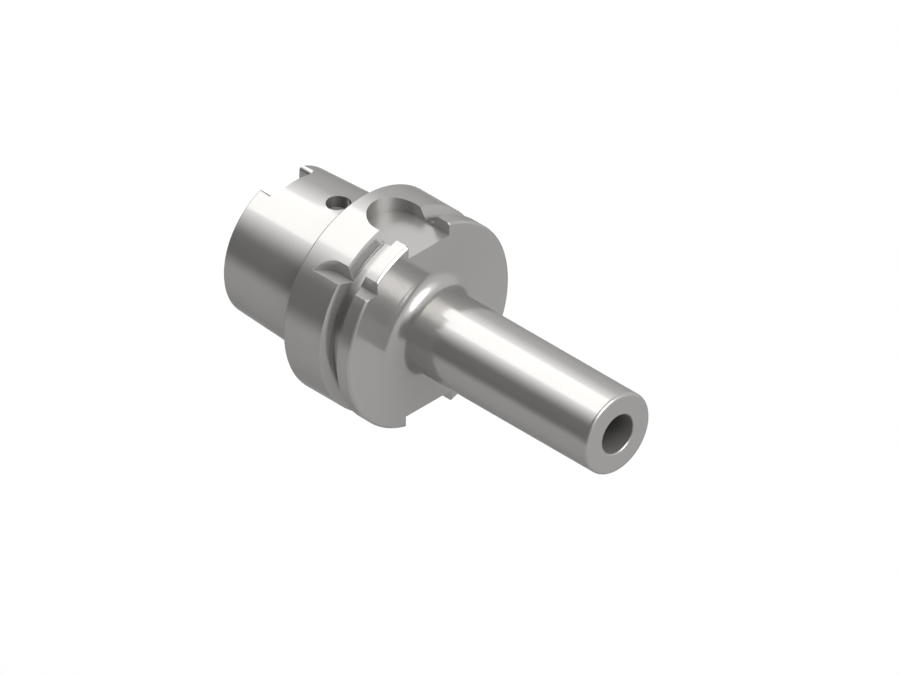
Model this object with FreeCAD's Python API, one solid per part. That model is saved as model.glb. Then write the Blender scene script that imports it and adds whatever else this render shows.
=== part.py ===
import FreeCAD, Part
import math
import os

V = FreeCAD.Vector

# Adapter that carries a small self-holding taper in a hollow taper spindle.
# It is turned and milled from one bar, so it is one solid.
# The tool axis is X. X = 0 is the face that seats on the spindle nose. The hollow
# shank runs to -X and the socket opens at +X. The narrower keyway is on top, at +Z.
# All sizes are in millimetres.

# Hollow taper shank, outside
shank_length = 32.0
shank_gauge_d = 48.01
shank_gauge_x = 6.3
shank_taper = 1.0 / 9.98
shank_end_chamfer = 0.5
shank_relief_width = 2.0
shank_relief_depth = 0.4

# Hollow taper shank, inside
clamp_bore_d = 34.0
clamp_bore_depth = 11.27
clamp_bore_chamfer = 0.8
clamp_groove_d = 40.0
clamp_shoulder_angle = 30.0
clamp_groove_front_gap = 5.0

# Drive slots across the open end of the shank
drive_slot_width = 14.5
drive_slot_depth = 5.8
drive_slot_edge_round = 1.5
drive_slot_corner = 2.0
drive_slot_inner_z = 8.5
drive_slot_flare = 3.0

# Radial hole through the shank wall that gives access to a clamping screw
access_hole_d = 7.2
access_hole_x = 9.4

# Seat of the coolant tube, behind the clamping groove
tube_rim_d = 20.0
tube_rim_depth = 2.0
tube_thread_core_d = 17.0
tube_thread_depth = 15.0

# Flange
flange_d = 63.0
flange_width = 26.0
flange_rear_chamfer = 0.8
flange_front_chamfer = 0.6

# Gripper groove round the flange
groove_centre_x = 18.0
groove_width = 6.9
groove_depth = 2.8
groove_rear_angle = 30.0
groove_front_angle = 45.0
groove_lip_chamfer = 0.3
groove_front_corner = 1.2

# Keyways in the flange, one on top and a wider one below
top_keyway_width = 16.0
bottom_keyway_width = 18.0
keyway_floor_height = 26.5
keyway_end_x = 12.75

# Orientation notch between the top keyway and the -Y side
notch_cutter_d = 16.0
notch_offset = 20.1
notch_end_x = 11.8

# Extension with the tapered socket
nose_x = 100.0
nose_d = 25.0
nose_edge_round = 1.0
nose_root_round = 4.5
socket_gauge_d = 12.065
socket_taper = 0.04988
socket_depth = 56.0
socket_chamfer = 0.3

# Passage of the draw screw, from the coolant tube seat into the socket
screw_hole_d = 6.6
screw_head_bore_d = 11.0
screw_web = 8.0

# How far each cutter runs past the surface that it opens
past = 1.0


def corner_arc(before, corner, after, radius):
    """Points of the arc that rounds one corner, or the corner itself where it is sharp."""
    if radius == 0:
        return [corner]
    back = (before - corner).normalize()
    ahead = (after - corner).normalize()
    half = back.getAngle(ahead) / 2
    reach = radius / math.tan(half)
    centre = corner + (back + ahead).normalize() * (radius / math.sin(half))
    middle = centre + (corner - centre).normalize() * radius
    return [corner + back * reach, middle, corner + ahead * reach]


def turned(corners):
    """Solid of revolution about the tool axis from (x, radius, rounding) corners."""
    points = [V(x, r, 0) for x, r, rounding in corners]
    count = len(points)
    arcs = []
    for i in range(count):
        arcs.append(corner_arc(points[i - 1], points[i], points[(i + 1) % count], corners[i][2]))
    edges = []
    for i in range(count):
        if len(arcs[i]) == 3:
            edges.append(Part.Arc(*arcs[i]).toShape())
        edges.append(Part.makeLine(arcs[i][-1], arcs[(i + 1) % count][0]))
    face = Part.Face(Part.Wire(edges))
    return face.revolve(V(0, 0, 0), V(1, 0, 0), 360)


def shank_radius(x):
    """Outside radius of the taper at a station behind the contact face."""
    return (shank_gauge_d - (-x - shank_gauge_x) * shank_taper) / 2


def shank_outline():
    """Outline of the shank from its open end to the contact face."""
    end = -shank_length
    edge_x = end + shank_end_chamfer
    relief_x = -shank_relief_width
    ramp_x = relief_x - shank_relief_depth
    relief_r = shank_radius(relief_x) - shank_relief_depth
    return [
        (end, 0, 0),
        (end, shank_radius(edge_x) - shank_end_chamfer, 0),
        (edge_x, shank_radius(edge_x), 0),
        (ramp_x, shank_radius(ramp_x), 0),
        (relief_x, relief_r, 0),
        (0, relief_r, 0),
    ]


def flange_outline():
    """Outline of the flange with its gripper groove."""
    rim_r = flange_d / 2
    floor_r = rim_r - groove_depth
    rear_lip = groove_centre_x - groove_width / 2
    front_lip = groove_centre_x + groove_width / 2
    rear_slope = math.tan(math.radians(groove_rear_angle))
    front_slope = math.tan(math.radians(groove_front_angle))
    return [
        (0, rim_r - flange_rear_chamfer, 0),
        (flange_rear_chamfer, rim_r, 0),
        (rear_lip - groove_lip_chamfer, rim_r, 0),
        (rear_lip + groove_lip_chamfer * rear_slope, rim_r - groove_lip_chamfer, 0),
        (rear_lip + groove_depth * rear_slope, floor_r, 0),
        (front_lip - groove_depth * front_slope, floor_r, groove_front_corner),
        (front_lip - groove_lip_chamfer * front_slope, rim_r - groove_lip_chamfer, 0),
        (front_lip + groove_lip_chamfer, rim_r, 0),
        (flange_width - flange_front_chamfer, rim_r, 0),
        (flange_width, rim_r - flange_front_chamfer, 0),
    ]


def nose_outline():
    """Outline of the extension in front of the flange."""
    return [
        (flange_width, nose_d / 2, nose_root_round),
        (nose_x, nose_d / 2, nose_edge_round),
        (nose_x, 0, 0),
    ]


def turned_blank():
    """Outside of the adapter as it leaves the lathe."""
    return turned(shank_outline() + flange_outline() + nose_outline())


def clamping_bore():
    """Stepped bore that the spindle's gripper expands into."""
    end = -shank_length
    mouth_r = clamp_bore_d / 2
    groove_r = clamp_groove_d / 2
    shoulder_x = end + clamp_bore_depth
    slope = math.tan(math.radians(clamp_shoulder_angle))
    groove_x = shoulder_x + (groove_r - mouth_r) / slope
    floor_x = -clamp_groove_front_gap
    return turned([
        (end - past, 0, 0),
        (end - past, mouth_r + clamp_bore_chamfer + past, 0),
        (end + clamp_bore_chamfer, mouth_r, 0),
        (shoulder_x, mouth_r, 0),
        (groove_x, groove_r, 0),
        (floor_x, groove_r, 0),
        (floor_x, 0, 0),
    ])


def tube_seat():
    """Rim recess and thread core bore for the coolant tube."""
    floor_x = -clamp_groove_front_gap
    rim_x = floor_x + tube_rim_depth
    return turned([
        (floor_x - past, 0, 0),
        (floor_x - past, tube_rim_d / 2, 0),
        (rim_x, tube_rim_d / 2, 0),
        (rim_x, tube_thread_core_d / 2, 0),
        (rim_x + tube_thread_depth, tube_thread_core_d / 2, 0),
        (rim_x + tube_thread_depth, 0, 0),
    ])


def screw_passage():
    """Bore for the draw screw's head and the hole for its shank."""
    start = -clamp_groove_front_gap + tube_rim_depth + tube_thread_depth - past
    socket_end = nose_x - socket_depth
    seat = socket_end - screw_web
    return turned([
        (start, 0, 0),
        (start, screw_head_bore_d / 2, 0),
        (seat, screw_head_bore_d / 2, 0),
        (seat, screw_hole_d / 2, 0),
        (socket_end + past, screw_hole_d / 2, 0),
        (socket_end + past, 0, 0),
    ])


def tapered_socket():
    """Self-holding taper socket with a broken edge at its mouth."""
    mouth_r = socket_gauge_d / 2
    mouth_x = nose_x - socket_chamfer
    end = nose_x - socket_depth
    return turned([
        (end, 0, 0),
        (end, mouth_r - socket_depth * socket_taper / 2, 0),
        (mouth_x, mouth_r - socket_chamfer * socket_taper / 2, 0),
        (nose_x + past, mouth_r + socket_chamfer + past, 0),
        (nose_x + past, 0, 0),
    ])


def milled_slot(width, end_x, y, z):
    """Cut of an upright end mill that enters through the flange's front face."""
    r = width / 2
    front = flange_width + past
    rear_arc = Part.Arc(V(end_x, y - r, z), V(end_x - r, y, z), V(end_x, y + r, z))
    outline = Part.Wire([
        rear_arc.toShape(),
        Part.makeLine(V(end_x, y + r, z), V(front, y + r, z)),
        Part.makeLine(V(front, y + r, z), V(front, y - r, z)),
        Part.makeLine(V(front, y - r, z), V(end_x, y - r, z)),
    ])
    return Part.Face(outline).extrude(V(0, 0, flange_d / 2 + past - z))


def keyways():
    """The two driving keyways of the flange, which differ in width."""
    top = milled_slot(top_keyway_width, keyway_end_x, 0, keyway_floor_height)
    bottom = milled_slot(bottom_keyway_width, keyway_end_x, 0, keyway_floor_height)
    bottom.rotate(V(0, 0, 0), V(1, 0, 0), 180)
    return [top, bottom]


def orientation_notch():
    """Notch that tells a gripper which way round the adapter sits."""
    centre_y = -notch_offset - notch_cutter_d / 2
    return milled_slot(notch_cutter_d, notch_end_x, centre_y, notch_offset)


def drive_slot_side(side, outer_r):
    """One side of the drive slot's cross-section, from the axis end outwards."""
    w = drive_slot_width / 2
    r = drive_slot_edge_round
    y = w + r
    z = math.sqrt((outer_r - r) ** 2 - y ** 2)
    turn = math.atan2(y, z)
    half = (math.pi / 2 + turn) / 2
    touch = V(0, outer_r * math.sin(turn), outer_r * math.cos(turn))
    middle = V(0, y - r * math.cos(half), z + r * math.sin(half))
    flare = V(0, math.cos(turn), -math.sin(turn)) * drive_slot_flare
    points = [V(0, w, drive_slot_inner_z), V(0, w, z), middle, touch, touch + flare]
    return [V(p.x, side * p.y, p.z) for p in points]


def drive_slot():
    """Cutter for one drive slot at the top of the shank's open end."""
    floor_x = -shank_length + drive_slot_depth
    outer_r = shank_radius(floor_x)
    left = drive_slot_side(-1, outer_r)
    right = drive_slot_side(1, outer_r)
    top = outer_r + past
    left_top = V(0, left[4].y, top)
    right_top = V(0, right[4].y, top)
    outline = Part.Wire([
        Part.makeLine(left[0], left[1]),
        Part.Arc(left[1], left[2], left[3]).toShape(),
        Part.makeLine(left[3], left[4]),
        Part.makeLine(left[4], left_top),
        Part.makeLine(left_top, right_top),
        Part.makeLine(right_top, right[4]),
        Part.makeLine(right[4], right[3]),
        Part.Arc(right[3], right[2], right[1]).toShape(),
        Part.makeLine(right[1], right[0]),
        Part.makeLine(right[0], left[0]),
    ])
    outline.translate(V(floor_x, 0, 0))
    cutter = Part.Face(outline).extrude(V(-drive_slot_depth - past, 0, 0))
    return cutter.makeFillet(drive_slot_corner, slot_floor_edges(cutter, floor_x, right[4].y))


def slot_floor_edges(cutter, floor_x, outer_y):
    """Edges where the slot's sides meet its floor, out to where the flare ends."""
    found = []
    for edge in cutter.Edges:
        box = edge.BoundBox
        flat = abs(box.XMin - floor_x) < 1e-6 and abs(box.XMax - floor_x) < 1e-6
        across = box.ZLength < 1e-6
        outermost = min(abs(box.YMin), abs(box.YMax)) > outer_y - 1e-6
        if flat and not across and not outermost:
            found.append(edge)
    return found


def drive_slots():
    """Both drive slots, on top and below."""
    top = drive_slot()
    bottom = top.copy()
    bottom.rotate(V(0, 0, 0), V(1, 0, 0), 180)
    return [top, bottom]


def access_hole():
    """Radial hole through the top of the shank wall."""
    length = shank_gauge_d / 2 + past
    return Part.makeCylinder(access_hole_d / 2, length, V(-access_hole_x, 0, 0), V(0, 0, 1))


def adapter():
    """The finished adapter."""
    body = turned_blank()
    bores = [clamping_bore(), tube_seat(), screw_passage(), tapered_socket()]
    milled = keyways() + drive_slots() + [orientation_notch(), access_hole()]
    for cutter in bores + milled:
        body = body.cut(cutter)
    return body.Solids[0]


os.makedirs("parts", exist_ok=True)
adapter().exportStep("parts/adapter_body.step")
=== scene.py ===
import math

import bpy
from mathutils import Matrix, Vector


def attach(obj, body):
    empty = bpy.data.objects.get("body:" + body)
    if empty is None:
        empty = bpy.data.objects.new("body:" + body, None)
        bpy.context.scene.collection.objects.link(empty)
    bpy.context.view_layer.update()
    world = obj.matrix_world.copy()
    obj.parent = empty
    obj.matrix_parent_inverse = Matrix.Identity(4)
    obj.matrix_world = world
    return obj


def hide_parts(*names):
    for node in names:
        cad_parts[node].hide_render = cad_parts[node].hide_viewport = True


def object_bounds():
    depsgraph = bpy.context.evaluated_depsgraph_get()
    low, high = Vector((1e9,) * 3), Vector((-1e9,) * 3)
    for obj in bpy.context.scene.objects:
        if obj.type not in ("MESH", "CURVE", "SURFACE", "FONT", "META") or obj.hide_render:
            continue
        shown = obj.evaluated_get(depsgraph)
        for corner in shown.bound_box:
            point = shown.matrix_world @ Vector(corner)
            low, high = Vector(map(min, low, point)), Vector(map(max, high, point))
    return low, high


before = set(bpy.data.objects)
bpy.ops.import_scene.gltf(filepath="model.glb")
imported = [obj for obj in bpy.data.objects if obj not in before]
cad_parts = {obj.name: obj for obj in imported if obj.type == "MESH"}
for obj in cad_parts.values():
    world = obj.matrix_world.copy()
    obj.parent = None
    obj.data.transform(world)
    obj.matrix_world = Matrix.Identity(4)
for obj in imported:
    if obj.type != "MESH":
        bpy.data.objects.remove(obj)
cad_low, cad_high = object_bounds()

MM = 0.001

# The view: parallel, from equal angles to the three axes, in metres
VIEW_FROM = Vector((1, -1, 1)).normalized()
VIEW_RIGHT = Vector((1, 1, 0)).normalized()
VIEW_UP = Vector((-1, 1, 2)).normalized()
VIEW_WIDTH = 248.97 * MM
VIEW_DISTANCE = 600 * MM
VIEW_SHIFT_RIGHT = 24.2 * MM
VIEW_SHIFT_UP = -14.0 * MM
VIEW_NEAREST = 10 * MM

# Floor: how far it lies below the part, its size, the sides of its outline and its colour
FLOOR_DROP = 250 * MM
FLOOR_RADIUS = 4.0
FLOOR_SIDES = 96
FLOOR_WHITE = (0.86, 0.86, 0.86, 1)

# Flange: its rim and front face, and the widths and depths of what is milled into it
RIM_RADIUS = 31.5 * MM
FLANGE_FRONT_X = 26.0 * MM
TOP_KEYWAY_WIDTH = 16.0 * MM
LOWER_KEYWAY_WIDTH = 18.0 * MM
KEYWAY_FLOOR_Z = 26.5 * MM
NOTCH_OFFSET = 20.1 * MM  # of its floor above the tool axis, and of its wall beside it

# Walls that cross the groove: how far each lies along Y, and on which side along Z
MILLED_WALLS = (
    (-TOP_KEYWAY_WIDTH / 2, 1),
    (TOP_KEYWAY_WIDTH / 2, 1),
    (-LOWER_KEYWAY_WIDTH / 2, -1),
    (LOWER_KEYWAY_WIDTH / 2, -1),
    (-NOTCH_OFFSET, 1),
)
WALL_REACH = 0.3 * MM  # points this near to a wall stay on it

# Gripper groove as the solid has it, rear side first: lips before their chamfer, depth, and
# how far each flank leans for its depth
GROOVE_MIDDLE = 17.3 * MM
SOLID_LIPS = (14.55 * MM, 21.45 * MM)
SOLID_CHAMFER = 0.3 * MM
SOLID_DEPTH = 2.8 * MM
SOLID_SLOPES = (math.tan(math.radians(30)), math.tan(math.radians(45)))
SNUG = 0.01 * MM  # how exactly points lie where they should

# The same groove as it shows: crisp lips, equal flanks, and a floor that the notch just meets
SHOWN_LIPS = (14.62 * MM, 21.42 * MM)
SHOWN_DEPTH = 3.07 * MM
SHOWN_SLOPE = math.tan(math.radians(30))

# Normals: how little of X one on a floor, rim or milled wall has, and from how much of the
# direction away from the axis it belongs to a floor or the rim
UPRIGHT_X = 0.1
OUTWARD_SHARE = 0.99

# Steel: how much of it mirrors, and its tint
STEEL_MIRROR = 0.6
STEEL_DARK = (0.350, 0.344, 0.335, 1)
STEEL_LIGHT = (0.370, 0.364, 0.355, 1)
EDGE_TINT = (0.45, 0.45, 0.45, 1)

# Its texture: pitch of the finest tool marks, patches and grain a metre, detail of each, and
# the middle stretch of a noise's values, where most of them lie
TURNING_PITCH = 0.16 * MM
TURNING_DETAIL = 3.0
PATCHES_A_METRE = 45.0
PATCH_DETAIL = 4.0
GRAINS_A_METRE = 5200.0
GRAIN_DETAIL = 2.0
NOISE_MIDDLE = (0.3, 0.7)

# Its roughness: range over the patches, what tool marks add, and what milled floors add
ROUGHNESS = (0.09, 0.12)
TURNING_ROUGHNESS = 0.03
KEYWAY_ROUGHNESS = 0.18
NOTCH_ROUGHNESS = 0.45

# Its relief: height of the tool marks, how much of it shows, and the share of the grain
RELIEF_HEIGHT = 0.02 * MM
RELIEF_STRENGTH = 0.05
GRAIN_SHARE = 0.4

# Milled floors: how near to its level a point lies on one, and how far they keep from edges
LEVEL_REACH = 0.05 * MM
EDGE_GAP = 0.1 * MM
MILLED_FROM_X = 1 * MM

# Painted shade in bores and corners: how near other surfaces count, at which open shares the
# painted shade starts and stops, and how much light the deepest places keep
CREVICE_REACH = 15.0 * MM
CREVICE_OPEN = (0.05, 0.4)
PAINTED_CREVICE_SHADE = 0.3

# Painted shade on the groove's floor: where it lies, where it fades to the front, how much it
# darkens
GROOVE_SHADE_X = (15.8 * MM, 20.2 * MM)
GROOVE_SHADE_RADIUS = (28.2 * MM, 29.3 * MM)
GROOVE_SHADE_FADE_X = (17.8 * MM, 19.2 * MM)
PAINTED_GROOVE_SHADE = 0.32

# Edges that are rounded over in the shading: the nose, the flange's front edge and the foot of
# the groove's rear flank
NOSE_ROUND = 0.5 * MM
NOSE_FROM_X = 91 * MM
FRONT_ROUND = 0.5 * MM
FRONT_FROM_X = 25.1 * MM
FRONT_RADIUS = 30.6 * MM
FOOT_ROUND = 0.3 * MM
FOOT_X = (15.3 * MM, 17.3 * MM)
FOOT_RADIUS = 28.9 * MM
SHADER_SAMPLES = 8

# Room, by direction: how bright it is low down, between which heights its walls set in, from
# which Y to which the dark screen ends and how much light it takes, and from which Y to which
# the far wall rises and how much light it adds there
ROOM_LIGHT = 0.77
WALL_HEIGHTS = (-0.42, -0.06)
SCREEN_Y = (-0.77, -0.32)
SCREEN_SHADE = 0.93
FAR_WALL_Y = (0.0, 0.55)
FAR_WALL_LIGHT = (0.23, 0.35)

# How strongly the room's light falls on matt surfaces, against what metal reflects
ROOM_ON_MATT = 0.51

# Soft lamps above the shank and above the nose: direction, stretch of the patch, brightness
# and edge of its core, and brightness and edge of the glow round it, which falls off by a power
SHANK_LAMP = {
    "centre": Vector((-0.66, -0.015, 0.8)),
    "stretch": Vector((1.4, 1.0, 1.0)),
    "core": 0.95,
    "core_edge": (0.355, 0.39),
    "glow": 2.05,
    "glow_edge": 0.86,
}
NOSE_LAMP = {
    "centre": Vector((0.66, 0.0, 0.72)),
    "stretch": Vector((1.0, 0.7, 1.0)),
    "core": 7.0,
    "core_edge": (0.12, 0.42),
    "glow": 2.8,
    "glow_edge": 0.75,
}
GLOW_POWER = 1.3


def new_material(name):
    """Empty node material, with its tree and output node."""
    material = bpy.data.materials.new(name)
    material.use_nodes = True
    tree = material.node_tree
    tree.nodes.clear()
    output = tree.nodes.new("ShaderNodeOutputMaterial")
    return material, tree, output


def calc(tree, operation, first, second):
    """Math node on two links or numbers."""
    node = tree.nodes.new("ShaderNodeMath")
    node.operation = operation
    for socket, value in zip(node.inputs, (first, second)):
        if isinstance(value, (int, float)):
            socket.default_value = value
        else:
            tree.links.new(value, socket)
    return node.outputs[0]


def product(tree, first, *others):
    """All the links and numbers multiplied. For masks of 0 and 1: where all of them hold."""
    for other in others:
        first = calc(tree, "MULTIPLY", first, other)
    return first


def above(tree, value, limit):
    """1 where a value is over a limit, 0 elsewhere."""
    return calc(tree, "GREATER_THAN", value, limit)


def below(tree, value, limit):
    """1 where a value is under a limit, 0 elsewhere."""
    return calc(tree, "LESS_THAN", value, limit)


def between(tree, value, limits):
    """1 where a value lies between two limits, 0 elsewhere."""
    return product(tree, above(tree, value, limits[0]), below(tree, value, limits[1]))


def ramp(tree, value, span, low, high, smooth=True):
    """Maps a value's span onto low to high, and holds it outside."""
    node = tree.nodes.new("ShaderNodeMapRange")
    node.interpolation_type = "SMOOTHSTEP" if smooth else "LINEAR"
    node.inputs["From Min"].default_value = span[0]
    node.inputs["From Max"].default_value = span[1]
    node.inputs["To Min"].default_value = low
    node.inputs["To Max"].default_value = high
    tree.links.new(value, node.inputs["Value"])
    return node.outputs[0]


def noise(tree, vector, scale, detail):
    """Noise texture's value, at a scale in cycles a metre."""
    node = tree.nodes.new("ShaderNodeTexNoise")
    node.inputs["Scale"].default_value = scale
    node.inputs["Detail"].default_value = detail
    tree.links.new(vector, node.inputs["Vector"])
    return node.outputs["Fac"]


def parts_of(tree, vector):
    """The X, Y and Z outputs of a vector."""
    split = tree.nodes.new("ShaderNodeSeparateXYZ")
    tree.links.new(vector, split.inputs[0])
    return split.outputs["X"], split.outputs["Y"], split.outputs["Z"]


def lathe_coordinates(tree, place):
    """Station along the tool axis, distance from it, and both as a vector for ring marks."""
    station, y, z = parts_of(tree, place)
    squares = calc(tree, "ADD", product(tree, y, y), product(tree, z, z))
    radius = calc(tree, "POWER", squares, 0.5)
    join = tree.nodes.new("ShaderNodeCombineXYZ")
    tree.links.new(station, join.inputs["X"])
    tree.links.new(radius, join.inputs["Y"])
    return station, radius, join.outputs[0]


def milled_roughness(tree, place, radius):
    """How much rougher the floors of the keyways and the notch are, and 0 elsewhere."""
    x, y, z = parts_of(tree, place)
    height = calc(tree, "ABSOLUTE", z, 0)
    off_keyway = calc(tree, "ABSOLUTE", calc(tree, "SUBTRACT", height, KEYWAY_FLOOR_Z), 0)
    keyway = product(
        tree,
        below(tree, off_keyway, LEVEL_REACH),
        below(tree, calc(tree, "ABSOLUTE", y, 0), LOWER_KEYWAY_WIDTH / 2 - EDGE_GAP),
        KEYWAY_ROUGHNESS,
    )
    off_notch = calc(tree, "ABSOLUTE", calc(tree, "SUBTRACT", z, NOTCH_OFFSET), 0)
    notch = product(
        tree,
        below(tree, off_notch, LEVEL_REACH),
        below(tree, radius, RIM_RADIUS - EDGE_GAP),
        below(tree, y, -NOTCH_OFFSET),
        NOTCH_ROUGHNESS,
    )
    return product(
        tree,
        calc(tree, "MAXIMUM", keyway, notch),
        between(tree, x, (MILLED_FROM_X, FLANGE_FRONT_X - LEVEL_REACH)),
        above(tree, radius, KEYWAY_FLOOR_Z - EDGE_GAP),
    )


def rounding(tree, station, radius, milled):
    """Normal that is rounded over at the nose, the flange's front and the groove's rear foot."""
    at_nose = above(tree, station, NOSE_FROM_X)
    at_front = product(
        tree, above(tree, station, FRONT_FROM_X), above(tree, radius, FRONT_RADIUS)
    )
    at_foot = product(
        tree,
        between(tree, station, FOOT_X),
        below(tree, radius, FOOT_RADIUS),
        below(tree, milled, min(KEYWAY_ROUGHNESS, NOTCH_ROUGHNESS) / 2),
    )
    size = product(tree, at_nose, NOSE_ROUND)
    size = calc(tree, "ADD", size, product(tree, at_foot, FOOT_ROUND))
    size = calc(tree, "ADD", size, product(tree, at_front, FRONT_ROUND))
    rounded = tree.nodes.new("ShaderNodeBevel")
    rounded.samples = SHADER_SAMPLES
    tree.links.new(size, rounded.inputs["Radius"])
    return rounded.outputs[0]


def with_painted_shade(tree, colour, station, radius):
    """Colour darkened by painted shade in the bores and corners and on the groove's floor."""
    # Painted shade: the base colour is darkened where ambient occlusion finds nearby surfaces,
    # in bores and corners
    open_share = tree.nodes.new("ShaderNodeAmbientOcclusion")
    open_share.samples = SHADER_SAMPLES
    open_share.inputs["Distance"].default_value = CREVICE_REACH
    share = ramp(tree, open_share.outputs["AO"], CREVICE_OPEN, PAINTED_CREVICE_SHADE, 1.0)
    # Painted shade on the groove's floor, darkest at its bottom and fading out towards the front
    # lip
    groove_shade = product(
        tree,
        between(tree, station, GROOVE_SHADE_X),
        between(tree, radius, GROOVE_SHADE_RADIUS),
        ramp(tree, radius, (RIM_RADIUS - SHOWN_DEPTH, GROOVE_SHADE_RADIUS[1]), PAINTED_GROOVE_SHADE, 0.0),
        ramp(tree, station, GROOVE_SHADE_FADE_X, 1.0, 0.0),
    )
    dim = tree.nodes.new("ShaderNodeVectorMath")
    dim.operation = "SCALE"
    tree.links.new(colour, dim.inputs[0])
    kept = product(tree, share, calc(tree, "SUBTRACT", 1.0, groove_shade))
    tree.links.new(kept, dim.inputs["Scale"])
    return dim.outputs[0]


def steel():
    """Hardened steel, ground bright after turning, with fine rings and soft patches, and painted
    shade in its bores, corners and groove.
    """
    material, tree, output = new_material("body_steel")
    place = tree.nodes.new("ShaderNodeTexCoord").outputs["Object"]
    station, radius, turning = lathe_coordinates(tree, place)
    rings = noise(tree, turning, 1 / TURNING_PITCH, TURNING_DETAIL)
    patches = noise(tree, place, PATCHES_A_METRE, PATCH_DETAIL)
    grain = noise(tree, place, GRAINS_A_METRE, GRAIN_DETAIL)
    milled = milled_roughness(tree, place, radius)

    shader = tree.nodes.new("ShaderNodeBsdfPrincipled")
    shader.inputs["Metallic"].default_value = STEEL_MIRROR
    shader.inputs["Specular Tint"].default_value = EDGE_TINT
    shader.inputs["Specular IOR Level"].default_value = 0.0
    tint = tree.nodes.new("ShaderNodeMix")
    tint.data_type = "RGBA"
    tint.inputs[6].default_value = STEEL_DARK
    tint.inputs[7].default_value = STEEL_LIGHT
    tree.links.new(patches, tint.inputs[0])
    # The base colour carries painted shade in the bores, corners and groove floor
    tree.links.new(with_painted_shade(tree, tint.outputs[2], station, radius), shader.inputs["Base Color"])

    rough = calc(
        tree,
        "ADD",
        ramp(tree, patches, NOISE_MIDDLE, *ROUGHNESS),
        ramp(tree, rings, NOISE_MIDDLE, 0.0, TURNING_ROUGHNESS),
    )
    tree.links.new(calc(tree, "ADD", rough, milled), shader.inputs["Roughness"])

    relief = tree.nodes.new("ShaderNodeBump")
    relief.inputs["Strength"].default_value = RELIEF_STRENGTH
    relief.inputs["Distance"].default_value = RELIEF_HEIGHT
    height = calc(tree, "ADD", rings, product(tree, grain, GRAIN_SHARE))
    tree.links.new(height, relief.inputs["Height"])
    tree.links.new(rounding(tree, station, radius, milled), relief.inputs["Normal"])
    tree.links.new(relief.outputs["Normal"], shader.inputs["Normal"])
    tree.links.new(shader.outputs[0], output.inputs["Surface"])
    return material


def in_groove(place):
    """Whether a point of the solid's surface belongs to the gripper groove or its lips."""
    distance = math.hypot(place.y, place.z)
    past_lip = SOLID_CHAMFER + SNUG
    return (
        RIM_RADIUS - SOLID_DEPTH - SNUG < distance < RIM_RADIUS + SNUG
        and SOLID_LIPS[0] - past_lip < place.x < SOLID_LIPS[1] + past_lip
    )


def groove_place(place):
    """Where a point of the groove belongs, on the same milled wall as before."""
    depth = max(RIM_RADIUS - math.hypot(place.y, place.z), 0)
    new_depth = depth * SHOWN_DEPTH / SOLID_DEPTH
    front = place.x > GROOVE_MIDDLE
    inward = -1 if front else 1
    x = SHOWN_LIPS[front] + inward * new_depth * SHOWN_SLOPE
    if depth > SOLID_CHAMFER + SNUG:
        x += place.x - SOLID_LIPS[front] - inward * depth * SOLID_SLOPES[front]
    distance = RIM_RADIUS - new_depth
    for wall, side in MILLED_WALLS:
        if abs(place.y - wall) < WALL_REACH and place.z * side > 0:
            return Vector((x, place.y, side * math.sqrt(distance**2 - place.y**2)))
    if abs(place.z - NOTCH_OFFSET) < WALL_REACH and place.y < 0:
        return Vector((x, -math.sqrt(distance**2 - place.z**2), place.z))
    return Vector((x, *(place.yz.normalized() * distance)))


def groove_normal(place, normal):
    """Normal of the reshaped groove at a point where the solid had the given one."""
    outward = Vector((0, place.y, place.z)).normalized()
    if abs(normal.x) < UPRIGHT_X:
        if normal.dot(outward) < OUTWARD_SHARE:
            return normal
        around = groove_place(place).yz.normalized() * math.sqrt(1 - normal.x**2)
        return Vector((normal.x, *around))

    # The lips' chamfers become part of the flanks
    if RIM_RADIUS - math.hypot(place.y, place.z) < SOLID_CHAMFER + SNUG:
        return (Vector((math.copysign(1, normal.x), 0, 0)) + outward * SHOWN_SLOPE).normalized()

    # The rest is stretched in depth and leans along the axis, and its normals turn with it
    front = place.x > GROOVE_MIDDLE
    inward = -1 if front else 1
    stretch = SHOWN_DEPTH / SOLID_DEPTH
    lean = SOLID_SLOPES[front] - stretch * SHOWN_SLOPE
    along = normal.dot(outward)
    turned = (along - inward * lean * normal.x) / stretch
    return (normal + outward * (turned - along)).normalized()


def finished_body(solid):
    """Copy of the body with the gripper groove as it shows in the photo."""
    mesh = solid.data.copy()
    normals = [corner.vector.copy() for corner in mesh.corner_normals]
    for corner in mesh.loops:
        place = mesh.vertices[corner.vertex_index].co
        if in_groove(place):
            normals[corner.index] = groove_normal(place, normals[corner.index])
    for vertex in mesh.vertices:
        if in_groove(vertex.co):
            vertex.co = groove_place(vertex.co)
    mesh.normals_split_custom_set(normals)
    mesh.materials.clear()
    mesh.materials.append(steel())
    piece = bpy.data.objects.new("adapter_finish", mesh)
    bpy.context.scene.collection.objects.link(piece)
    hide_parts("adapter_body")
    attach(piece, "root")


def soft_lamp(tree, direction, centre, stretch, core, core_edge, glow, glow_edge):
    """Round patch of light in the room, with a soft edge and a glow that fades out round it."""
    scale = tree.nodes.new("ShaderNodeVectorMath")
    scale.operation = "MULTIPLY"
    scale.inputs[1].default_value = stretch
    tree.links.new(direction, scale.inputs[0])
    apart = tree.nodes.new("ShaderNodeVectorMath")
    apart.operation = "DISTANCE"
    apart.inputs[1].default_value = centre * stretch
    tree.links.new(scale.outputs[0], apart.inputs[0])
    distance = apart.outputs["Value"]
    patch = ramp(tree, distance, core_edge, core, 0.0)
    around = ramp(tree, distance, (core_edge[0], glow_edge), 1.0, 0.0, smooth=False)
    around = product(tree, calc(tree, "POWER", around, GLOW_POWER), glow)
    return calc(tree, "ADD", patch, around)


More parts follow.
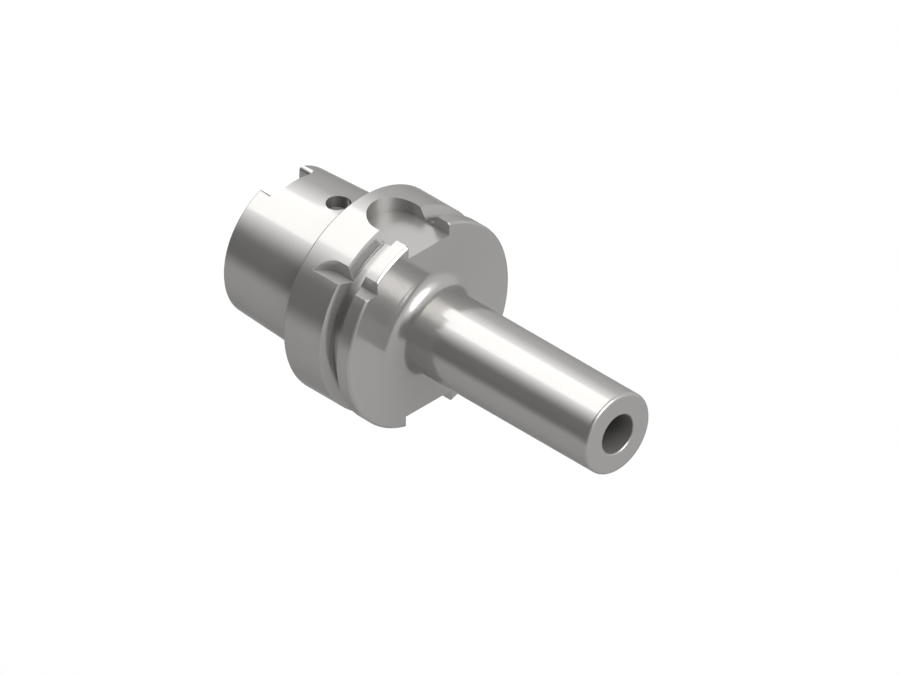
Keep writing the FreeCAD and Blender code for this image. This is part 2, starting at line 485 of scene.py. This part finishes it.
def room():
    """White room with two soft lamps overhead and a dark screen at one side."""
    world = bpy.data.worlds.new("room")
    bpy.context.scene.world = world
    world.use_nodes = True
    tree = world.node_tree
    direction = tree.nodes.new("ShaderNodeTexCoord").outputs["Generated"]
    _, y, z = parts_of(tree, direction)
    above_floor = ramp(tree, z, WALL_HEIGHTS, 0.0, 1.0)
    screen = ramp(tree, y, SCREEN_Y, SCREEN_SHADE, 0.0)
    far_wall = ramp(tree, y, FAR_WALL_Y, *FAR_WALL_LIGHT)
    walls = product(tree, calc(tree, "SUBTRACT", far_wall, screen), above_floor)
    light = calc(tree, "ADD", walls, ROOM_LIGHT)
    for lamp in (SHANK_LAMP, NOSE_LAMP):
        light = calc(tree, "ADD", light, soft_lamp(tree, direction, **lamp))

    # Metal mirrors the room at full strength, matt surfaces get less, and the camera sees white
    rays = tree.nodes.new("ShaderNodeLightPath")
    mirrored = product(tree, rays.outputs["Is Glossy Ray"], 1 - ROOM_ON_MATT)
    light = product(tree, light, calc(tree, "ADD", mirrored, ROOM_ON_MATT))
    seen = tree.nodes.new("ShaderNodeMix")
    seen.inputs[3].default_value = 1.0
    tree.links.new(rays.outputs["Is Camera Ray"], seen.inputs[0])
    tree.links.new(light, seen.inputs[2])
    background = tree.nodes["Background"]
    background.inputs["Color"].default_value = (1, 1, 1, 1)
    tree.links.new(seen.outputs[0], background.inputs["Strength"])


def floor():
    """Round white floor below the part, which metal doesn't mirror."""
    material, tree, output = new_material("floor_white")
    shader = tree.nodes.new("ShaderNodeBsdfDiffuse")
    shader.inputs["Color"].default_value = FLOOR_WHITE
    tree.links.new(shader.outputs[0], output.inputs["Surface"])
    bpy.ops.mesh.primitive_circle_add(
        vertices=FLOOR_SIDES,
        radius=FLOOR_RADIUS,
        fill_type="NGON",
        location=(0, 0, cad_low.z - FLOOR_DROP),
    )
    disc = bpy.context.object
    disc.name = "floor"
    disc.visible_glossy = False
    disc.data.materials.append(material)


def camera():
    """Parallel camera that looks down on the part from equal angles."""
    data = bpy.data.cameras.new("camera")
    data.type = "ORTHO"
    data.ortho_scale = VIEW_WIDTH
    data.clip_start = VIEW_NEAREST
    eye = bpy.data.objects.new("camera", data)
    bpy.context.scene.collection.objects.link(eye)
    across = VIEW_RIGHT * VIEW_SHIFT_RIGHT + VIEW_UP * VIEW_SHIFT_UP
    eye.location = across + VIEW_FROM * VIEW_DISTANCE
    eye.rotation_mode = "QUATERNION"
    eye.rotation_quaternion = VIEW_FROM.to_track_quat("Z", "Y")
    bpy.context.scene.camera = eye


bpy.context.scene.view_settings.view_transform = "Standard"

finished_body(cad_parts["adapter_body"])
room()
floor()
camera()
